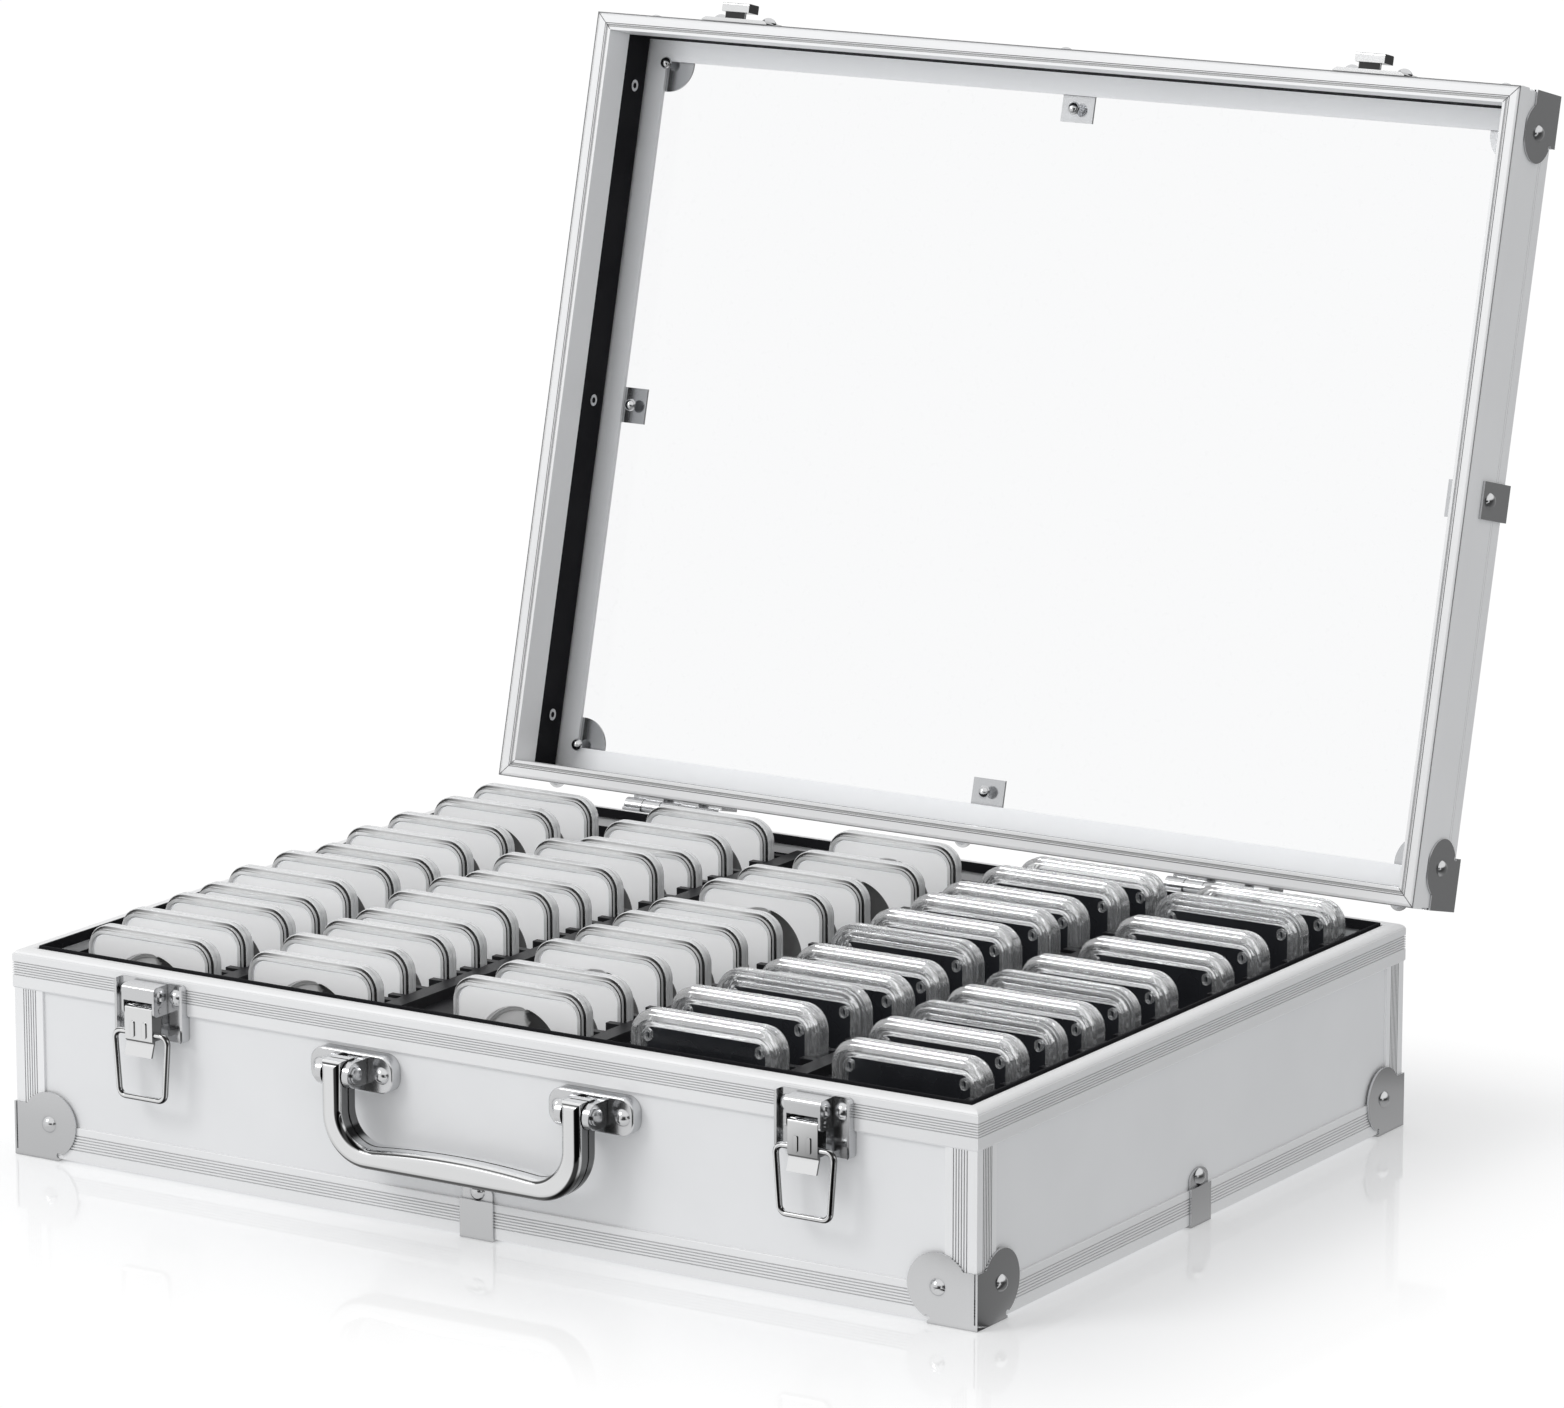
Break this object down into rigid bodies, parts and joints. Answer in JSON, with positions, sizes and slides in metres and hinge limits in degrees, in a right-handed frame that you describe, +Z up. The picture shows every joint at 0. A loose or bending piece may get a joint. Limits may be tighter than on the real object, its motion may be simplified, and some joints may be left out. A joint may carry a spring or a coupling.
{
  "type": "coin display case",
  "caption": "Shallow aluminium-edged case with a clear-windowed hinged lid, draw latches and a folding handle, racking upright clear coin holders.",
  "frame": {"origin": "middle of the base's footprint on the plane its corner guards and clips rest on", "axes": "+Z up, the handle and latches face -Y, the lid is hinged along +Y, +X is to the right seen from the front"},
  "size_m": [0.425, 0.4469, 0.3956],
  "materials": {
    "laminate": "silver-grey laminate with a fine dimple",
    "grooved_aluminium": "satin anodised extrusion",
    "nickel_sheet": "bright nickel plated pressed steel",
    "chrome_hardware": "polished chrome plate",
    "black_lining": "black flocked lining",
    "black_rack": "moulded black plastic",
    "clear_holder": "clear moulded polystyrene",
    "pale_insert": "frosted pale core",
    "black_insert": "black recessed core",
    "silver_coin": "plain silver disc",
    "window_acrylic": "clear acrylic sheet",
    "black_board": "dark fibreboard core"
  },
  "bodies": {
    "base": {"panel_front": "laminate", "panel_back": "laminate", "panel_left": "laminate", "panel_right": "laminate", "panel_bottom": "laminate", "base_rim": "grooved_aluminium", "base_edges": "grooved_aluminium", "corner_posts": "grooved_aluminium", "base_guards": "nickel_sheet", "base_clips": "nickel_sheet", "base_rivets": "nickel_sheet", "wall_lining": "black_lining", "floor_lining": "black_lining", "rack_rails": "black_rack", "slot_combs": "black_rack", "handle_brackets": "nickel_sheet", "handle_pins": "nickel_sheet", "bracket_rivets": "nickel_sheet", "latch_plates": "nickel_sheet", "latch_pins": "nickel_sheet", "latch_rivets": "nickel_sheet", "hinge_base_leaves": "nickel_sheet", "hinge_pins": "nickel_sheet", "hinge_base_rivets": "nickel_sheet"},
    "lid": {"lid_frame": "grooved_aluminium", "lid_boards": "black_board", "lid_lining": "black_lining", "lid_window": "window_acrylic", "lid_guards": "nickel_sheet", "lid_clips": "nickel_sheet", "lid_rivets": "nickel_sheet", "window_screws": "nickel_sheet", "lid_eyelets": "nickel_sheet", "hinge_lid_leaves": "nickel_sheet", "hinge_lid_rivets": "nickel_sheet", "strikes": "nickel_sheet", "strike_rivets": "nickel_sheet"},
    "lever_left_body": {"lever_left": "chrome_hardware"},
    "bail_left_body": {"bail_left": "chrome_hardware"},
    "lever_right_body": {"lever_right": "chrome_hardware"},
    "bail_right_body": {"bail_right": "chrome_hardware"},
    "handle_body": {"handle": "chrome_hardware"},
    "holders_1_body": {"holder_shells_1": "clear_holder", "holder_inserts_1": "pale_insert", "coins_1": "silver_coin"},
    "holders_2_body": {"holder_shells_2": "clear_holder", "holder_inserts_2": "pale_insert", "coins_2": "silver_coin"},
    "holders_3_body": {"holder_shells_3": "clear_holder", "holder_inserts_3": "pale_insert", "coins_3": "silver_coin"},
    "holders_4_body": {"holder_shells_4": "clear_holder", "holder_inserts_4": "black_insert"},
    "holders_5_body": {"holder_shells_5": "clear_holder", "holder_inserts_5": "black_insert"}
  },
  "joints": [
    {"name": "lid_hinge", "type": "hinge", "parent": "base", "child": "lid", "pos_m": [0, 0.1613, 0.0793], "axis": [1, 0, 0], "range_deg": [0, 104]},
    {"name": "lever_left_hinge", "type": "hinge", "parent": "base", "child": "lever_left_body", "pos_m": [-0.1444, -0.1624, 0.0668], "axis": [1, 0, 0], "range_deg": [-75, 0]},
    {"name": "bail_left_hinge", "type": "hinge", "parent": "lever_left_body", "child": "bail_left_body", "pos_m": [-0.1444, -0.1646, 0.0576], "axis": [-1, 0, 0], "range_deg": [0, 191]},
    {"name": "lever_right_hinge", "type": "hinge", "parent": "base", "child": "lever_right_body", "pos_m": [0.1444, -0.1624, 0.0668], "axis": [1, 0, 0], "range_deg": [-75, 0]},
    {"name": "bail_right_hinge", "type": "hinge", "parent": "lever_right_body", "child": "bail_right_body", "pos_m": [0.1444, -0.1646, 0.0576], "axis": [-1, 0, 0], "range_deg": [0, 191]},
    {"name": "handle_hinge", "type": "hinge", "parent": "base", "child": "handle_body", "pos_m": [0, -0.1686, 0.057], "axis": [-1, 0, 0], "range_deg": [0, 170]},
    {"name": "holders_1_slide", "type": "slide", "parent": "base", "child": "holders_1_body", "axis": [0, 0, -1], "range_m": [-0.095, 0]},
    {"name": "holders_2_slide", "type": "slide", "parent": "base", "child": "holders_2_body", "axis": [0, 0, -1], "range_m": [-0.095, 0]},
    {"name": "holders_3_slide", "type": "slide", "parent": "base", "child": "holders_3_body", "axis": [0, 0, -1], "range_m": [-0.095, 0]},
    {"name": "holders_4_slide", "type": "slide", "parent": "base", "child": "holders_4_body", "axis": [0, 0, -1], "range_m": [-0.095, 0]},
    {"name": "holders_5_slide", "type": "slide", "parent": "base", "child": "holders_5_body", "axis": [0, 0, -1], "range_m": [-0.095, 0]}
  ]
}
